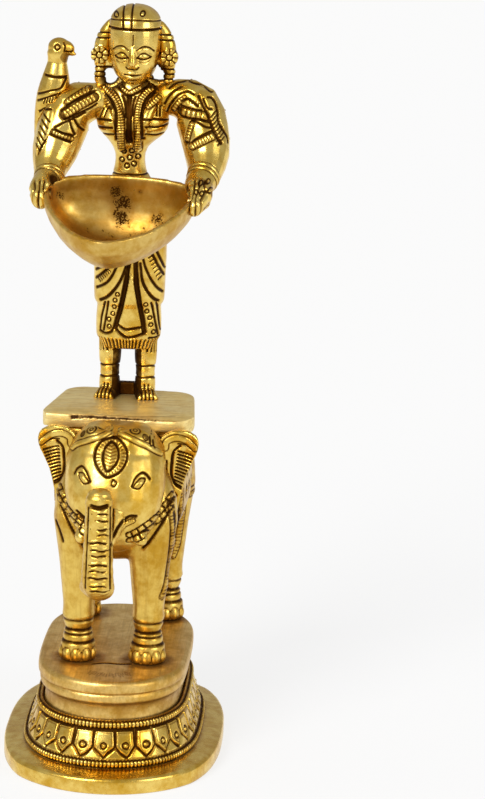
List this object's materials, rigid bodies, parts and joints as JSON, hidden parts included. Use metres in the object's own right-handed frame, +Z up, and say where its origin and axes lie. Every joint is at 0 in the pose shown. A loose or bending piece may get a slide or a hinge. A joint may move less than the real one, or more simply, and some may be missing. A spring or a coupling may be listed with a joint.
{
  "type": "oil lamp",
  "caption": "Cast brass oil lamp: a standing figure with a parrot holds an open bowl on an elephant's back, above an oval lotus base.",
  "frame": {"origin": "centre of the underside of the oval foot plate", "axes": "+Z up, front of the figure and of the elephant towards -Y, +X to the figure's left"},
  "size_m": [0.0574, 0.086, 0.1959],
  "materials": {
    "brass": "antique polished cast brass with dark brown in the chased lines",
    "plain_brass": "turned brass, dull"
  },
  "bodies": {
    "root": {"plinth": "brass", "deck": "brass", "deck_screw": "plain_brass", "deck_washer": "plain_brass", "elephant_body": "brass", "elephant_head": "brass", "trunk": "brass", "elephant_ear_left": "brass", "elephant_ear_right": "brass", "tail": "brass", "foot_screws": "plain_brass", "saddle_slab": "brass", "saddle_dowels": "plain_brass", "skirt": "brass", "leg_dowels": "plain_brass", "torso": "brass", "waist_dowel": "plain_brass", "head": "brass", "plait": "brass", "ear_ornament_left": "brass", "ear_ornament_right": "brass", "arm_left": "brass", "arm_right": "brass", "shoulder_pins": "plain_brass", "bowl": "brass", "bowl_rivets": "plain_brass", "parrot": "brass"}
  },
  "joints": []
}
